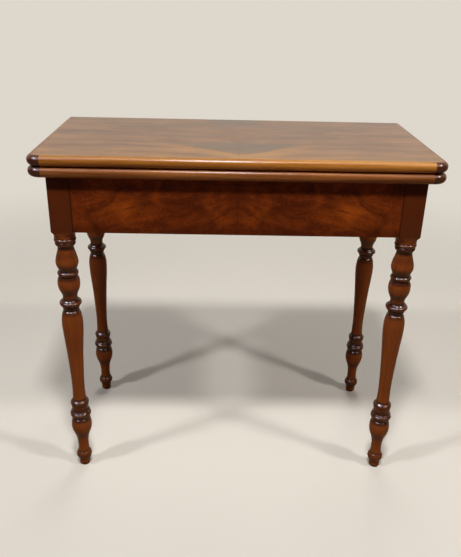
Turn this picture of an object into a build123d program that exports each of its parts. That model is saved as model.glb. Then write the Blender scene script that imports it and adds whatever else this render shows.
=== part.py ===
from build123d import *
import os
from math import sqrt

# A fold-over games table: a fixed frame on four turned legs, a folded top that swivels a
# quarter turn on an off-centre pivot, and an upper leaf that folds over by a half turn.
# Millimetres. The floor is z = 0, the front faces -Y, and the table is centred on the Z axis.

# Whole table
table_height = 745
overrun = 5

# Leaves
leaf_length = 800
leaf_depth = 388
leaf_thickness = 21
leaf_gap = 0.4
leaf_corner_radius = 25
edge_flat = 0.6
edging_width = 40
corner_width = 28.5
hinge_edging_width = 12
top_veneer = 0.8
top_veneer_margin = 0.8
baize_recess = 1.0
baize_thickness = 0.8
baize_margin = 0.3

# Frame
side_overhang = 33.5
front_overhang = 16.5
block_size = 43
block_drop = 10
rail_height = 112.3
rail_thickness = 22
rail_veneer = 1.0
swivel_clearance = 0.3
tenon_length = 24
tenon_thickness = 9
tenon_shoulder_low = 10
tenon_shoulder_high = 30
mortise_play = 0.1

# Turned part of a leg: its largest radius, and the shoulder under the square block
turning_radius = 23
shoulder_height = 10
shoulder_bulge_share = 0.55

# Card compartment
divider_thickness = 12
divider_groove = 5
divider_drop = 0.5
floor_thickness = 8
floor_play = 0.3
bearer_size = 12
bearer_rise = 2

# Pivot of the top
pivot_board_width = 150
pivot_board_thickness = 22
pivot_board_lap = 12
lap_play = 0.1
bolt_radius = 6
bolt_head_radius = 10
bolt_head_height = 3
bolt_end = 3
bolt_play = 0.1
pivot_plate_radius = 34
pivot_plate_thickness = 3
pivot_plate_screw_offset = 17
washer_radius = 15
washer_thickness = 2
nut_across_flats = 20
nut_height = 10
nut_chamfer = 1.5

# Swivel stop
stop_radius = 50
stop_peg_radius = 5
stop_peg_fixed = 10
stop_peg_reach = 8
stop_peg_chamfer = 0.8
stop_groove_play = 0.4
stop_groove_depth = 10
stop_groove_start = -135
swivel_range = 90

# Hinges at the two ends of the hinge line
hinge_pin_inset = 4
hinge_pin_radius = 1.2
hinge_pin_play = 0.03
link_thickness = 3
link_end_radius = 3.2
link_play = 0.15
knuckle_depth = 13.5
knuckle_length = 12
knuckle_height = 11
knuckle_cheek = 3
strap_depth = 4.5
strap_length = 58
strap_height = 10
hinge_play = 0.1
hinge_screw_first = 10
hinge_screw_pitch = 13
hinge_screw_count = 3
hinge_screw_sink = 0.7

# Screws and nails
small_screw_radius = 1.6
small_screw_head = 3.2
small_screw_length = 18
plate_screw_radius = 2
plate_screw_head = 4
plate_screw_length = 14
board_screw_radius = 2.5
board_screw_head = 5
board_screw_length = 45
board_screw_spacing = 100
bearer_screw_radius = 2
bearer_screw_head = 4
bearer_screw_length = 26
bearer_screw_margin = 44
bearer_screw_count = 3
nail_radius = 1
nail_head_radius = 2.2
nail_head_height = 0.8
nail_length = 18
nail_margin = 20
nail_count = 4
screw_slot_width = 0.8
screw_slot_depth = 0.9
screw_tip_share = 0.8
screw_play = 0.05

# Levels and faces that follow from the sizes above
upper_top = table_height
upper_bottom = upper_top - leaf_thickness
lower_top = upper_bottom - leaf_gap
lower_bottom = lower_top - leaf_thickness
frame_top = lower_bottom - swivel_clearance
edge_radius = (leaf_thickness - edge_flat) / 2
half_length = leaf_length / 2
half_depth = leaf_depth / 2
inner_half_length = half_length - edging_width
front_half_length = half_length - corner_width
core_front = edging_width - half_depth
core_rear = half_depth - hinge_edging_width
rail_bottom = frame_top - rail_height
block_bottom = rail_bottom - block_drop
block_half = block_size / 2
frame_half_x = half_length - side_overhang
frame_half_y = half_depth - front_overhang
leg_x = frame_half_x - block_half
leg_y = frame_half_y - block_half
bay_half_x = leg_x - block_half
bay_half_y = leg_y - block_half
rail_outer_x = frame_half_x - rail_veneer
rail_outer_y = frame_half_y - rail_veneer
rail_inner_x = rail_outer_x - rail_thickness
rail_inner_y = rail_outer_y - rail_thickness
rail_middle_x = rail_outer_x - rail_thickness / 2
rail_middle_y = rail_outer_y - rail_thickness / 2
tenon_bottom = rail_bottom + tenon_shoulder_low
tenon_top = frame_top - tenon_shoulder_high
pivot_x = half_depth / 2
pivot_y = half_depth / 2
board_left = pivot_x - pivot_board_width / 2
board_right = pivot_x + pivot_board_width / 2
board_bottom = frame_top - pivot_board_thickness
board_end = rail_inner_y + pivot_board_lap
divider_right = 0
divider_left = divider_right - divider_thickness
divider_top = frame_top - divider_drop
bearer_bottom = rail_bottom + bearer_rise
floor_bottom = bearer_bottom + bearer_size
floor_top = floor_bottom + floor_thickness

# Outline of the turned leg, from the floor up to the shoulder. Each stretch runs from one sharp
# corner to the next: two points make a straight line, three an arc, and more a smooth curve.
# A point is a share of the turned height and a share of the largest radius.
turning_shares = [
    [(0.000, 0.42), (0.003, 0.49), (0.012, 0.525), (0.032, 0.56)],
    [(0.032, 0.56), (0.049, 0.755), (0.066, 0.58)],
    [(0.066, 0.58), (0.081, 0.525), (0.100, 0.51), (0.122, 0.545), (0.145, 0.66), (0.167, 0.855),
     (0.190, 0.975), (0.210, 0.955), (0.227, 0.85)],
    [(0.227, 0.85), (0.230, 0.79)],
    [(0.230, 0.79), (0.235, 0.885), (0.239, 0.87)],
    [(0.239, 0.87), (0.248, 1.00), (0.257, 0.90)],
    [(0.257, 0.90), (0.260, 0.925), (0.264, 0.83)],
    [(0.264, 0.83), (0.272, 0.75), (0.280, 0.765)],
    [(0.280, 0.765), (0.285, 0.82), (0.290, 0.79)],
    [(0.290, 0.79), (0.300, 0.875), (0.309, 0.775)],
    [(0.309, 0.775), (0.315, 0.64)],
    [(0.315, 0.64), (0.341, 0.60), (0.402, 0.60), (0.472, 0.68), (0.553, 0.805), (0.618, 0.935),
     (0.653, 0.965), (0.683, 0.905), (0.703, 0.77)],
    [(0.703, 0.77), (0.707, 0.70), (0.713, 0.71)],
    [(0.713, 0.71), (0.717, 0.78), (0.722, 0.765)],
    [(0.722, 0.765), (0.726, 0.86)],
    [(0.726, 0.86), (0.734, 1.00), (0.744, 0.80)],
    [(0.744, 0.80), (0.748, 0.70)],
    [(0.748, 0.70), (0.757, 0.655), (0.769, 0.69), (0.784, 0.85), (0.810, 0.995), (0.830, 0.95),
     (0.840, 0.85)],
    [(0.840, 0.85), (0.844, 0.80)],
    [(0.844, 0.80), (0.853, 0.94), (0.861, 0.80)],
    [(0.861, 0.80), (0.865, 0.77)],
    [(0.865, 0.77), (0.876, 0.88), (0.890, 0.995), (0.910, 0.955), (0.931, 0.81), (0.947, 0.715),
     (0.954, 0.70)],
    [(0.954, 0.70), (0.958, 0.78)],
    [(0.958, 0.78), (0.965, 0.90), (0.973, 0.86)],
    [(0.973, 0.86), (0.980, 0.965), (0.986, 0.90)],
    [(0.986, 0.90), (0.990, 0.925)],
    [(0.990, 0.925), (1.000, 0.93)],
]


def cuboid(low: tuple, high: tuple) -> Part:
    """Makes a square-edged block between two opposite corners."""
    spans = [top - bottom for bottom, top in zip(low, high)]
    with BuildPart() as block:
        with Locations(low):
            Box(*spans, align=(Align.MIN, Align.MIN, Align.MIN))
    return block.part


def spaced(low: float, high: float, count: int) -> list:
    """Gives evenly spaced places from one end to the other."""
    return [low + (high - low) * number / (count - 1) for number in range(count)]


def mirrored(low: tuple, high: tuple, side_x: int, side_y: int) -> Part:
    """Makes a block that is given in the right rear quarter, mirrored to the named sides."""
    xs = sorted((side_x * low[0], side_x * high[0]))
    ys = sorted((side_y * low[1], side_y * high[1]))
    return cuboid((xs[0], ys[0], low[2]), (xs[1], ys[1], high[2]))


def screw(seat: Plane, shank: float, head: float, length: float) -> Part:
    """Makes a countersunk screw whose slotted head is flush with a plane."""
    with BuildPart(seat) as body:
        Cylinder(shank, length, align=(Align.CENTER, Align.CENTER, Align.MAX))
        tip = body.faces().filter_by(GeomType.PLANE).sort_by(Axis(seat.origin, seat.z_dir))[0]
        chamfer(tip.edges(), shank * screw_tip_share)
        Cone(shank, head, head - shank, align=(Align.CENTER, Align.CENTER, Align.MAX))
        Box(2 * head + overrun, screw_slot_width, screw_slot_depth,
            align=(Align.CENTER, Align.CENTER, Align.MAX), mode=Mode.SUBTRACT)
    return body.part


def screw_hole(seat: Plane, shank: float, head: float, length: float) -> Part:
    """Makes the countersunk hole that a screw of the same sizes fills."""
    with BuildPart(seat) as hole:
        Cylinder(shank + screw_play, length + screw_play, align=(Align.CENTER, Align.CENTER, Align.MAX))
        Cone(shank + screw_play, head + screw_play, head - shank,
             align=(Align.CENTER, Align.CENTER, Align.MAX))
    return hole.part


def nail(seat: Plane) -> Part:
    """Makes a nail whose flat head stands under a plane."""
    with BuildPart(seat) as body:
        Cylinder(nail_radius, nail_length, align=(Align.CENTER, Align.CENTER, Align.MAX))
        Cylinder(nail_head_radius, nail_head_height, align=(Align.CENTER, Align.CENTER, Align.MAX))
    return body.part


def nail_hole(seat: Plane) -> Part:
    """Makes the hole that a nail fills."""
    with BuildPart(seat) as hole:
        Cylinder(nail_radius + screw_play, nail_length + screw_play,
                 align=(Align.CENTER, Align.CENTER, Align.MAX))
        Cylinder(nail_head_radius + screw_play, nail_head_height,
                 align=(Align.CENTER, Align.CENTER, Align.MAX))
    return hole.part


def turned_shaft(centre_x: float, centre_y: float) -> Part:
    """Makes the turned part of a leg by revolving its outline about the leg's axis."""
    with BuildPart() as turning:
        with BuildSketch(Plane(origin=(centre_x, centre_y, 0), x_dir=(1, 0, 0), z_dir=(0, -1, 0))):
            with BuildLine():
                for shares in turning_shares:
                    points = [(radius * turning_radius, height * block_bottom) for height, radius in shares]
                    if len(points) == 2:
                        Line(*points)
                    elif len(points) == 3:
                        ThreePointArc(*points)
                    else:
                        Spline(*points)
                foot_radius = turning_shares[0][0][1] * turning_radius
                neck_radius = turning_shares[-1][-1][1] * turning_radius
                Polyline((foot_radius, 0), (0, 0), (0, block_bottom), (neck_radius, block_bottom))
            make_face()
        revolve(axis=Axis((centre_x, centre_y, 0), (0, 0, 1)))
    return turning.part


def block_shoulder(centre_x: float, centre_y: float) -> Part:
    """Makes the ring that is turned away from the lower corners of a leg's square block."""
    neck_radius = turning_shares[-1][-1][1] * turning_radius
    reach = block_half * sqrt(2)
    middle = ((neck_radius + reach) / 2, block_bottom + shoulder_height * shoulder_bulge_share)
    rim = (reach, block_bottom + shoulder_height)
    with BuildPart() as ring:
        with BuildSketch(Plane(origin=(centre_x, centre_y, 0), x_dir=(1, 0, 0), z_dir=(0, -1, 0))):
            with BuildLine():
                ThreePointArc((neck_radius, block_bottom), middle, rim)
                Polyline(rim, (reach + overrun, rim[1]), (reach + overrun, block_bottom - overrun),
                         (neck_radius, block_bottom - overrun), (neck_radius, block_bottom))
            make_face()
        revolve(axis=Axis((centre_x, centre_y, 0), (0, 0, 1)))
    return ring.part


def leg(side_x: int, side_y: int) -> Part:
    """Makes a leg: the turned shaft, the square block above it and a mortise for each rail."""
    centre = (side_x * leg_x, side_y * leg_y)
    shaft = turned_shaft(*centre)
    shoulder = block_shoulder(*centre)
    low = tenon_bottom - mortise_play
    high = tenon_top + mortise_play
    half_slot = tenon_thickness / 2 + mortise_play
    depth = tenon_length + mortise_play
    long_mortise = mirrored((bay_half_x - overrun, rail_middle_y - half_slot, low),
                            (bay_half_x + depth, rail_middle_y + half_slot, high), side_x, side_y)
    short_mortise = mirrored((rail_middle_x - half_slot, bay_half_y - overrun, low),
                             (rail_middle_x + half_slot, bay_half_y + depth, high), side_x, side_y)
    with BuildPart() as whole:
        with BuildSketch(Plane.XY.offset(block_bottom)):
            with Locations(centre):
                Rectangle(block_size, block_size)
        extrude(amount=frame_top - block_bottom)
        add(shoulder, mode=Mode.SUBTRACT)
        add(shaft)
        add(long_mortise, mode=Mode.SUBTRACT)
        add(short_mortise, mode=Mode.SUBTRACT)
    return whole.part


def leaf_blank(bottom: float, inner_height: float) -> Part:
    """Makes a whole leaf: round moulding on three sides, and a square hinge edge.

    The hinge edge's arris at the inner face is rounded about the hinge pin, so that the two
    leaves roll past each other as the upper one folds over.
    """
    inward = 1 if inner_height == bottom else -1
    pin_height = inner_height + inward * hinge_pin_inset
    pin_y = half_depth - hinge_pin_inset
    low, high = sorted((pin_height, inner_height - inward * overrun))
    with BuildPart() as arris:
        with BuildSketch(Plane.YZ.offset(-half_length - overrun)):
            with BuildLine():
                Polyline((pin_y, low), (half_depth + overrun, low), (half_depth + overrun, high),
                         (pin_y, high), close=True)
            make_face()
            with Locations((pin_y, pin_height)):
                Circle(hinge_pin_inset, mode=Mode.SUBTRACT)
        extrude(amount=leaf_length + 2 * overrun)
    with BuildPart() as blank:
        with BuildSketch(Plane.XY.offset(bottom)) as outline:
            Rectangle(leaf_length, leaf_depth)
            fillet(outline.vertices().group_by(Axis.Y)[0], leaf_corner_radius)
        extrude(amount=leaf_thickness)
        underside = blank.faces().sort_by(Axis.Z)[0].edges().sort_by(Axis.Y)[:-1]
        topside = blank.faces().sort_by(Axis.Z)[-1].edges().sort_by(Axis.Y)[:-1]
        fillet(underside + topside, edge_radius)
        add(arris.part, mode=Mode.SUBTRACT)
    return blank.part


def edging_region(side: str) -> Part:
    """Makes the prism that one edging fills; the side edgings take in the front corners."""
    outer_x = half_length + overrun
    outer_y = half_depth + overrun
    corners = {
        "front": [(-front_half_length, -outer_y), (front_half_length, -outer_y),
                  (front_half_length, core_front), (-front_half_length, core_front)],
        "left": [(-outer_x, -outer_y), (-front_half_length, -outer_y), (-front_half_length, core_front),
                 (-inner_half_length, core_front), (-inner_half_length, outer_y), (-outer_x, outer_y)],
        "right": [(outer_x, -outer_y), (front_half_length, -outer_y), (front_half_length, core_front),
                  (inner_half_length, core_front), (inner_half_length, outer_y), (outer_x, outer_y)],
        "hinge": [(-inner_half_length, core_rear), (inner_half_length, core_rear),
                  (inner_half_length, outer_y), (-inner_half_length, outer_y)],
    }
    with BuildPart() as prism:
        with BuildSketch(Plane.XY.offset(lower_bottom - overrun)):
            with BuildLine():
                Polyline(*corners[side], close=True)
            make_face()
        extrude(amount=upper_top - lower_bottom + 2 * overrun)
    return prism.part


def veneer_sheet(left: float, right: float) -> Part:
    """Makes a stretch of the top veneer, which stops just inside the round moulding."""
    inset = edge_radius + top_veneer_margin
    with BuildPart() as sheet:
        with BuildSketch(Plane.XY.offset(upper_top - top_veneer)) as outline:
            with Locations((0, inset / 2)):
                Rectangle(leaf_length - 2 * inset, leaf_depth - inset)
            fillet(outline.vertices().group_by(Axis.Y)[0], leaf_corner_radius - inset)
        extrude(amount=top_veneer)
        add(cuboid((left, -half_depth, upper_bottom), (right, half_depth, upper_top)), mode=Mode.INTERSECT)
    return sheet.part


def hinge_body(side: int, blank: Part, inner_height: float, outer_height: float, play: float) -> Part:
    """Makes the outer form of a hinge plate, flush with the moulding, or the recess for it."""
    inward = 1 if outer_height > inner_height else -1
    middle = (inner_height + outer_height) / 2
    knuckle_low, knuckle_high = sorted((inner_height - inward * overrun,
                                        inner_height + inward * (knuckle_height + play)))
    knuckle = mirrored((half_length - knuckle_depth - play, half_depth - knuckle_length - play, knuckle_low),
                       (half_length + overrun, half_depth + overrun, knuckle_high), side, 1)
    strap = mirrored((half_length - strap_depth - play, half_depth - strap_length - play,
                      middle - strap_height / 2 - play),
                     (half_length + overrun, half_depth - hinge_pin_inset, middle + strap_height / 2 + play),
                     side, 1)
    with BuildPart() as body:
        add(knuckle)
        add(strap)
        if play == 0:
            add(blank, mode=Mode.INTERSECT)
    return body.part


def hinge_screw_seats(side: int, middle: float) -> list:
    """Gives the planes of the screw heads along a hinge's strap."""
    first = half_depth - knuckle_length - hinge_screw_first
    places = [(side * (half_length - hinge_screw_sink), first - number * hinge_screw_pitch, middle)
              for number in range(hinge_screw_count)]
    return [Plane(origin=place, x_dir=(0, 1, 0), z_dir=(side, 0, 0)) for place in places]


def hinge_plate(side: int, blank: Part, inner_height: float, outer_height: float) -> Part:
    """Makes a brass hinge plate: a strap with a slotted knuckle that holds one end of the link."""
    inward = 1 if outer_height > inner_height else -1
    pin_height = inner_height + inward * hinge_pin_inset
    body = hinge_body(side, blank, inner_height, outer_height, 0)
    slot_inner = half_length - knuckle_depth + knuckle_cheek - link_play
    slot_outer = half_length - knuckle_depth + knuckle_cheek + link_thickness + link_play
    slot_reach = link_end_radius + link_play
    slot_low, slot_high = sorted((pin_height + inward * slot_reach, inner_height - inward * overrun))
    slot = mirrored((slot_inner, half_depth - hinge_pin_inset - slot_reach, slot_low),
                    (slot_outer, half_depth + overrun, slot_high), side, 1)
    pin_plane = Plane(origin=(side * half_length, half_depth - hinge_pin_inset, pin_height),
                      x_dir=(0, 1, 0), z_dir=(side, 0, 0))
    with BuildPart(pin_plane) as bore:
        Cylinder(hinge_pin_radius + hinge_pin_play, 2 * (knuckle_depth + overrun))
    holes = [screw_hole(seat, small_screw_radius, small_screw_head, small_screw_length)
             for seat in hinge_screw_seats(side, (inner_height + outer_height) / 2)]
    with BuildPart() as plate:
        add(body)
        add(slot, mode=Mode.SUBTRACT)
        add(bore.part, mode=Mode.SUBTRACT)
        add(holes, mode=Mode.SUBTRACT)
    return plate.part


def hinge_screws(middle: float) -> Part:
    """Makes the screws of one leaf's two hinge plates."""
    with BuildPart() as group:
        for side in (-1, 1):
            for seat in hinge_screw_seats(side, middle):
                add(screw(seat, small_screw_radius, small_screw_head, small_screw_length))
    return group.part


def side_edging(side: int, blank: Part, inner_height: float, outer_height: float) -> Part:
    """Makes a side edging with its moulding, its front corner and the recess for the hinge."""
    recess = hinge_body(side, blank, inner_height, outer_height, hinge_play)
    holes = [screw_hole(seat, small_screw_radius, small_screw_head, small_screw_length)
             for seat in hinge_screw_seats(side, (inner_height + outer_height) / 2)]
    with BuildPart() as edging:
        add(blank)
        add(edging_region("left" if side < 0 else "right"), mode=Mode.INTERSECT)
        add(recess, mode=Mode.SUBTRACT)
        add(holes, mode=Mode.SUBTRACT)
    return edging.part


def plain_edging(name: str, blank: Part) -> Part:
    """Makes the front or the hinge edging of a leaf."""
    with BuildPart() as edging:
        add(blank)
        add(edging_region(name), mode=Mode.INTERSECT)
    return edging.part


def baize(bottom: float) -> Part:
    """Makes the cloth of one leaf's playing surface."""
    return cuboid((baize_margin - inner_half_length, core_front + baize_margin, bottom),
                  (inner_half_length - baize_margin, core_rear - baize_margin, bottom + baize_thickness))


def keep(piece: Part, name: str) -> None:
    """Labels a finished piece and writes it to its own file."""
    piece.label = name
    export_step(piece, f"parts/{name}.step")


os.makedirs("parts", exist_ok=True)

# Legs
for depth_name, side_y in (("front", -1), ("rear", 1)):
    for width_name, side_x in (("left", -1), ("right", 1)):
        keep(leg(side_x, side_y), f"leg_{depth_name}_{width_name}")

# Places of the fixings in the frame
board_screw_y = (rail_inner_y + board_end) / 2
board_screw_seats = [Plane(origin=(pivot_x + side_x * board_screw_spacing / 2, side_y * board_screw_y,
                                   frame_top), z_dir=(0, 0, 1))
                     for side_x in (-1, 1) for side_y in (-1, 1)]
bearer_inner_y = rail_inner_y - bearer_size
bearer_middle = bearer_bottom + bearer_size / 2
bearer_screw_seats = [Plane(origin=(place, side_y * bearer_inner_y, bearer_middle),
                            x_dir=(1, 0, 0), z_dir=(0, -side_y, 0))
                      for side_y in (-1, 1)
                      for place in spaced(bearer_screw_margin - bay_half_x,
                                          divider_left - bearer_screw_margin, bearer_screw_count)]
nail_y = rail_inner_y - bearer_size / 2
nail_seats = [Plane(origin=(place, side_y * nail_y, floor_top), z_dir=(0, 0, 1))
              for side_y in (-1, 1)
              for place in spaced(nail_margin - bay_half_x, divider_left - nail_margin, nail_count)]
board_screw_holes = [screw_hole(seat, board_screw_radius, board_screw_head, board_screw_length)
                     for seat in board_screw_seats]
bearer_screw_holes = [screw_hole(seat, bearer_screw_radius, bearer_screw_head, bearer_screw_length)
                      for seat in bearer_screw_seats]
nail_holes = [nail_hole(seat) for seat in nail_seats]

# Front and rear rails, tenoned into the legs, with the laps of the pivot board, the groove of
# the divider and the holes of the fixings
for name, side_y in (("front_rail", -1), ("rear_rail", 1)):
    with BuildPart() as rail:
        add(mirrored((-bay_half_x, rail_inner_y, rail_bottom), (bay_half_x, rail_outer_y, frame_top),
                     1, side_y))
        add(mirrored((-bay_half_x - tenon_length, rail_middle_y - tenon_thickness / 2, tenon_bottom),
                     (bay_half_x + tenon_length, rail_middle_y + tenon_thickness / 2, tenon_top),
                     1, side_y))
        add(mirrored((board_left - lap_play, rail_inner_y - overrun, board_bottom),
                     (board_right + lap_play, board_end + lap_play, frame_top + overrun), 1, side_y),
            mode=Mode.SUBTRACT)
        add(mirrored((divider_left - lap_play, rail_inner_y - overrun, rail_bottom - overrun),
                     (divider_right + lap_play, rail_inner_y + divider_groove + lap_play,
                      frame_top + overrun), 1, side_y), mode=Mode.SUBTRACT)
        add(board_screw_holes, mode=Mode.SUBTRACT)
        add(bearer_screw_holes, mode=Mode.SUBTRACT)
    keep(rail.part, name)

# Side rails
for name, side_x in (("left_rail", -1), ("right_rail", 1)):
    with BuildPart() as rail:
        add(mirrored((rail_inner_x, -bay_half_y, rail_bottom), (rail_outer_x, bay_half_y, frame_top),
                     side_x, 1))
        add(mirrored((rail_middle_x - tenon_thickness / 2, -bay_half_y - tenon_length, tenon_bottom),
                     (rail_middle_x + tenon_thickness / 2, bay_half_y + tenon_length, tenon_top),
                     side_x, 1))
    keep(rail.part, name)

# Veneers of the frame, flush with the faces of the leg blocks
keep(cuboid((-bay_half_x, -frame_half_y, rail_bottom), (0, -rail_outer_y, frame_top)), "front_veneer_left")
keep(cuboid((0, -frame_half_y, rail_bottom), (bay_half_x, -rail_outer_y, frame_top)), "front_veneer_right")
keep(cuboid((-bay_half_x, rail_outer_y, rail_bottom), (bay_half_x, frame_half_y, frame_top)), "rear_veneer")
keep(cuboid((-frame_half_x, -bay_half_y, rail_bottom), (-rail_outer_x, bay_half_y, frame_top)), "left_veneer")
keep(cuboid((rail_outer_x, -bay_half_y, rail_bottom), (frame_half_x, bay_half_y, frame_top)), "right_veneer")

# Pivot board, lapped into the rails, with the bore for the bolt and the groove for the stop
with BuildLine() as stop_path:
    CenterArc((pivot_x, pivot_y), stop_radius, stop_groove_start, swivel_range)
with BuildPart() as pivot_board:
    add(cuboid((board_left, -board_end, board_bottom), (board_right, board_end, frame_top)))
    with BuildSketch(Plane.XY.offset(frame_top)):
        SlotArc(stop_path.edges()[0], 2 * (stop_peg_radius + stop_groove_play))
    extrude(amount=-stop_groove_depth, mode=Mode.SUBTRACT)
    with Locations((pivot_x, pivot_y, frame_top)):
        Hole(bolt_radius + bolt_play)
    add(board_screw_holes, mode=Mode.SUBTRACT)
keep(pivot_board.part, "pivot_board")

with BuildPart() as pivot_board_screws:
    for seat in board_screw_seats:
        add(screw(seat, board_screw_radius, board_screw_head, board_screw_length))
keep(pivot_board_screws.part, "pivot_board_screws")

# Divider of the card compartment, in grooves in the rails
divider_end = rail_inner_y + divider_groove
divider = cuboid((divider_left, -divider_end, bearer_bottom), (divider_right, divider_end, divider_top))
keep(divider, "divider")

# Floor of the compartment, notched round the leg blocks, on two bearers
with BuildPart() as compartment_floor:
    add(cuboid((floor_play - rail_inner_x, floor_play - rail_inner_y, floor_bottom),
               (divider_left - floor_play, rail_inner_y - floor_play, floor_top)))
    for side_y in (-1, 1):
        add(mirrored((bay_half_x - floor_play, bay_half_y - floor_play, floor_bottom - overrun),
                     (frame_half_x, frame_half_y, floor_top + overrun), -1, side_y), mode=Mode.SUBTRACT)
    add(nail_holes, mode=Mode.SUBTRACT)
keep(compartment_floor.part, "compartment_floor")

for name, side_y in (("front_bearer", -1), ("rear_bearer", 1)):
    with BuildPart() as bearer:
        add(mirrored((floor_play - bay_half_x, bearer_inner_y, bearer_bottom),
                     (divider_left - floor_play, rail_inner_y, floor_bottom), 1, side_y))
        add(bearer_screw_holes, mode=Mode.SUBTRACT)
        add(nail_holes, mode=Mode.SUBTRACT)
    keep(bearer.part, name)

with BuildPart() as bearer_screws:
    for seat in bearer_screw_seats:
        add(screw(seat, bearer_screw_radius, bearer_screw_head, bearer_screw_length))
keep(bearer_screws.part, "bearer_screws")

with BuildPart() as floor_nails:
    for seat in nail_seats:
        add(nail(seat))
keep(floor_nails.part, "floor_nails")

# Pivot: a bolt held by a plate in the underside of the lower leaf, with its washer and nut
plate_top = lower_bottom + pivot_plate_thickness
plate_screw_seats = [Plane(origin=(pivot_x + side_x * pivot_plate_screw_offset,
                                   pivot_y + side_y * pivot_plate_screw_offset, lower_bottom),
                           x_dir=(1, 0, 0), z_dir=(0, 0, -1))
                     for side_x in (-1, 1) for side_y in (-1, 1)]
plate_screw_holes = [screw_hole(seat, plate_screw_radius, plate_screw_head, plate_screw_length)
                     for seat in plate_screw_seats]
washer_top = board_bottom
nut_top = washer_top - washer_thickness - bolt_play
nut_bottom = nut_top - nut_height

with BuildPart() as pivot_plate:
    with Locations((pivot_x, pivot_y, lower_bottom)):
        Cylinder(pivot_plate_radius, pivot_plate_thickness, align=(Align.CENTER, Align.CENTER, Align.MIN))
        Hole(bolt_radius + bolt_play)
    add(plate_screw_holes, mode=Mode.SUBTRACT)
keep(pivot_plate.part, "pivot_plate")

with BuildPart() as pivot_plate_screws:
    for seat in plate_screw_seats:
        add(screw(seat, plate_screw_radius, plate_screw_head, plate_screw_length))
keep(pivot_plate_screws.part, "pivot_plate_screws")

with BuildPart(Plane(origin=(pivot_x, pivot_y, plate_top))) as pivot_bolt:
    Cylinder(bolt_head_radius, bolt_head_height, align=(Align.CENTER, Align.CENTER, Align.MIN))
    Cylinder(bolt_radius, plate_top - nut_bottom + bolt_end, align=(Align.CENTER, Align.CENTER, Align.MAX))
keep(pivot_bolt.part, "pivot_bolt")

with BuildPart(Plane(origin=(pivot_x, pivot_y, washer_top))) as pivot_washer:
    Cylinder(washer_radius, washer_thickness, align=(Align.CENTER, Align.CENTER, Align.MAX))
    Hole(bolt_radius + bolt_play)
keep(pivot_washer.part, "pivot_washer")

with BuildPart() as pivot_nut:
    with BuildSketch(Plane.XY.offset(nut_bottom)):
        with Locations((pivot_x, pivot_y)):
            RegularPolygon(nut_across_flats / 2, 6, major_radius=False)
            Circle(bolt_radius + screw_play, mode=Mode.SUBTRACT)
    extrude(amount=nut_height)
    rim = pivot_nut.faces().sort_by(Axis.Z)[0].outer_wire()
    chamfer(rim.edges(), nut_chamfer)
keep(pivot_nut.part, "pivot_nut")

# Peg that stops the swivel, at the start of its groove
peg_place = stop_path.line @ 0
with BuildPart(Plane(origin=(peg_place.X, peg_place.Y, lower_bottom))) as stop_peg:
    Cylinder(stop_peg_radius, stop_peg_fixed, align=(Align.CENTER, Align.CENTER, Align.MIN))
    Cylinder(stop_peg_radius, stop_peg_reach, align=(Align.CENTER, Align.CENTER, Align.MAX))
    chamfer(stop_peg.faces().sort_by(Axis.Z)[0].edges(), stop_peg_chamfer)
keep(stop_peg.part, "stop_peg")

# Lower leaf
lower_blank = leaf_blank(lower_bottom, lower_top)
lower_middle = (lower_bottom + lower_top) / 2
with BuildPart() as lower_core:
    add(cuboid((-inner_half_length, core_front, lower_bottom),
               (inner_half_length, core_rear, lower_top - baize_recess)))
    with Locations((pivot_x, pivot_y, lower_bottom)):
        Cylinder(pivot_plate_radius + lap_play, pivot_plate_thickness,
                 align=(Align.CENTER, Align.CENTER, Align.MIN), mode=Mode.SUBTRACT)
        Cylinder(bolt_head_radius + lap_play, pivot_plate_thickness + bolt_head_height + lap_play,
                 align=(Align.CENTER, Align.CENTER, Align.MIN), mode=Mode.SUBTRACT)
    with Locations((peg_place.X, peg_place.Y, lower_bottom)):
        Cylinder(stop_peg_radius + screw_play, stop_peg_fixed + screw_play,
                 align=(Align.CENTER, Align.CENTER, Align.MIN), mode=Mode.SUBTRACT)
    add(plate_screw_holes, mode=Mode.SUBTRACT)
keep(lower_core.part, "lower_core")
keep(plain_edging("front", lower_blank), "lower_front_edging")
keep(plain_edging("hinge", lower_blank), "lower_hinge_edging")
keep(side_edging(-1, lower_blank, lower_top, lower_bottom), "lower_left_edging")
keep(side_edging(1, lower_blank, lower_top, lower_bottom), "lower_right_edging")
keep(baize(lower_top - baize_recess), "lower_baize")

# Upper leaf, with the figured veneer let in above its core and edgings
upper_blank = leaf_blank(upper_bottom, upper_bottom)
upper_middle = (upper_bottom + upper_top) / 2
whole_veneer = veneer_sheet(-half_length, half_length)
keep(cuboid((-inner_half_length, core_front, upper_bottom + baize_recess),
            (inner_half_length, core_rear, upper_top - top_veneer)), "upper_core")
upper_edgings = {
    "upper_front_edging": plain_edging("front", upper_blank),
    "upper_hinge_edging": plain_edging("hinge", upper_blank),
    "upper_left_edging": side_edging(-1, upper_blank, upper_bottom, upper_top),
    "upper_right_edging": side_edging(1, upper_blank, upper_bottom, upper_top),
}
for name, edging in upper_edgings.items():
    with BuildPart() as rebated:
        add(edging)
        add(whole_veneer, mode=Mode.SUBTRACT)
    keep(rebated.part, name)
keep(veneer_sheet(-half_length, 0), "upper_veneer_left")
keep(veneer_sheet(0, half_length), "upper_veneer_right")
keep(baize(upper_bottom + baize_recess - baize_thickness), "upper_baize")

# Hinge plates and their screws
keep(hinge_plate(-1, lower_blank, lower_top, lower_bottom), "lower_hinge_left")
keep(hinge_plate(1, lower_blank, lower_top, lower_bottom), "lower_hinge_right")
keep(hinge_plate(-1, upper_blank, upper_bottom, upper_top), "upper_hinge_left")
keep(hinge_plate(1, upper_blank, upper_bottom, upper_top), "upper_hinge_right")
keep(hinge_screws(lower_middle), "lower_hinge_screws")
keep(hinge_screws(upper_middle), "upper_hinge_screws")

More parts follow.
